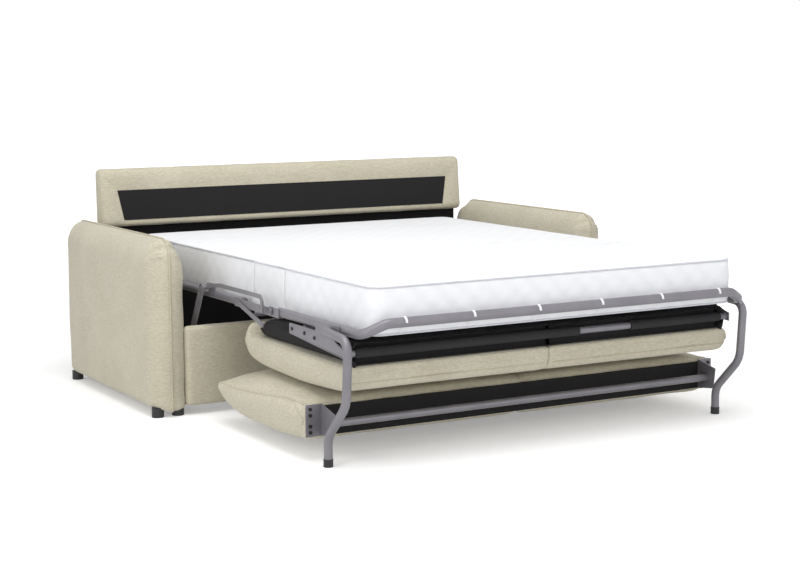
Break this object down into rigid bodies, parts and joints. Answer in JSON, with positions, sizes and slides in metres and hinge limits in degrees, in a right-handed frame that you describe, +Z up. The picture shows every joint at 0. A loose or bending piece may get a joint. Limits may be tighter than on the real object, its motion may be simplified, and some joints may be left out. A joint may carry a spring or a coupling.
{
  "type": "sleeper sofa with pull out bed",
  "caption": "Two-seat sleeper sofa shown open: a folding steel bed frame with mattress, upside-down seat, stowed back rest and S-curved legs.",
  "frame": {"origin": "on the floor, below the centre of the open bed's bounding box", "axes": "+Z up, +Y towards the sofa's back, the bed opens towards -Y, +X to the right seen from the foot end"},
  "size_m": [1.948, 2.1044, 0.83],
  "materials": {
    "upholstery": "woven beige upholstery cloth",
    "lining": "black non-woven lining",
    "wood_rail": "raw beech rail",
    "hook_plastic": "white moulded nylon",
    "mattress": "white quilted ticking",
    "foot_plastic": "black moulded plastic",
    "sleeve_foam": "black foam sleeve",
    "bolt_steel": "black zinc",
    "frame_steel": "grey powder coat"
  },
  "bodies": {
    "carcass": {"arms": "upholstery", "outer_back": "upholstery", "back_lining": "lining", "rear_panel": "lining", "front_rail": "upholstery", "side_rail_left": "wood_rail", "side_rail_right": "wood_rail", "sofa_feet": "foot_plastic", "side_plate_left": "frame_steel", "side_plate_right": "frame_steel", "lift_pins": "bolt_steel"},
    "front_links": {"front_lift_links": "frame_steel"},
    "rear_links": {"rear_lift_links": "frame_steel"},
    "head_section": {"head_frame": "frame_steel", "mattress_head": "mattress"},
    "head_end": {"mattress_head_end": "mattress"},
    "stay": {"stay_bars": "frame_steel"},
    "mid_section": {"mid_bars": "frame_steel", "twin_links": "frame_steel", "mid_cross_tube": "frame_steel", "mattress_middle": "mattress"},
    "foot_section": {"foot_frame": "frame_steel", "mattress_hooks": "hook_plastic", "channel_left": "frame_steel", "channel_right": "frame_steel", "foot_cross_tubes": "frame_steel", "seat_tray": "lining", "tray_tube": "frame_steel", "tube_sleeves": "sleeve_foam", "seat_cushion_left": "upholstery", "seat_cushion_right": "upholstery", "mattress_foot": "mattress"},
    "back_rest": {"legs": "frame_steel", "leg_feet": "foot_plastic", "turn_plate_left": "frame_steel", "turn_plate_right": "frame_steel", "flanges": "frame_steel", "flange_bolts": "bolt_steel", "leg_cross_tube": "frame_steel", "back_board": "lining", "back_cushion_left": "upholstery", "back_cushion_right": "upholstery"}
  },
  "joints": [
    {"name": "bed_fold", "type": "hinge", "parent": "carcass", "child": "front_links", "pos_m": [0, 0.24215, 0.195], "axis": [-1, 0, 0], "range_deg": [0, 144.6]},
    {"name": "rear_link_swing", "type": "hinge", "parent": "carcass", "child": "rear_links", "pos_m": [0, 0.58215, 0.195], "axis": [-1, 0, 0], "range_deg": [0, 144.6]},
    {"name": "head_level", "type": "hinge", "parent": "front_links", "child": "head_section", "pos_m": [0, 0.09215, 0.455], "axis": [-1, 0, 0], "range_deg": [-144.6, 0], "deforming": ["mattress_head"]},
    {"name": "head_end_curl", "type": "hinge", "parent": "head_section", "child": "head_end", "pos_m": [0, 0.57215, 0.42], "axis": [1, 0, 0], "range_deg": [0, 90], "deforming": ["mattress_head_end"]},
    {"name": "stay_swing", "type": "hinge", "parent": "head_section", "child": "stay", "pos_m": [0, 0.06715, 0.466], "axis": [-1, 0, 0], "range_deg": [0, 40]},
    {"name": "mid_fold", "type": "hinge", "parent": "head_section", "child": "mid_section", "pos_m": [0, -0.16985, 0.432], "axis": [-1, 0, 0], "range_deg": [0, 90], "deforming": ["mattress_middle"]},
    {"name": "foot_fold", "type": "hinge", "parent": "mid_section", "child": "foot_section", "pos_m": [0, -0.40985, 0.432], "axis": [-1, 0, 0], "range_deg": [0, 90], "deforming": ["mattress_foot"]},
    {"name": "back_turn", "type": "hinge", "parent": "foot_section", "child": "back_rest", "pos_m": [0, -0.75885, 0.424], "axis": [-1, 0, 0], "range_deg": [0, 83]}
  ],
  "couplings": [
    {"joint": "rear_link_swing", "follows": "bed_fold", "ratio": 1},
    {"joint": "head_level", "follows": "bed_fold", "ratio": -1},
    {"joint": "head_end_curl", "follows": "bed_fold", "ratio": 0.6224},
    {"joint": "stay_swing", "follows": "bed_fold", "ratio": 0.2766},
    {"joint": "mid_fold", "follows": "bed_fold", "ratio": 0.6224},
    {"joint": "foot_fold", "follows": "bed_fold", "ratio": 0.6224},
    {"joint": "back_turn", "follows": "bed_fold", "ratio": 0.5739}
  ]
}
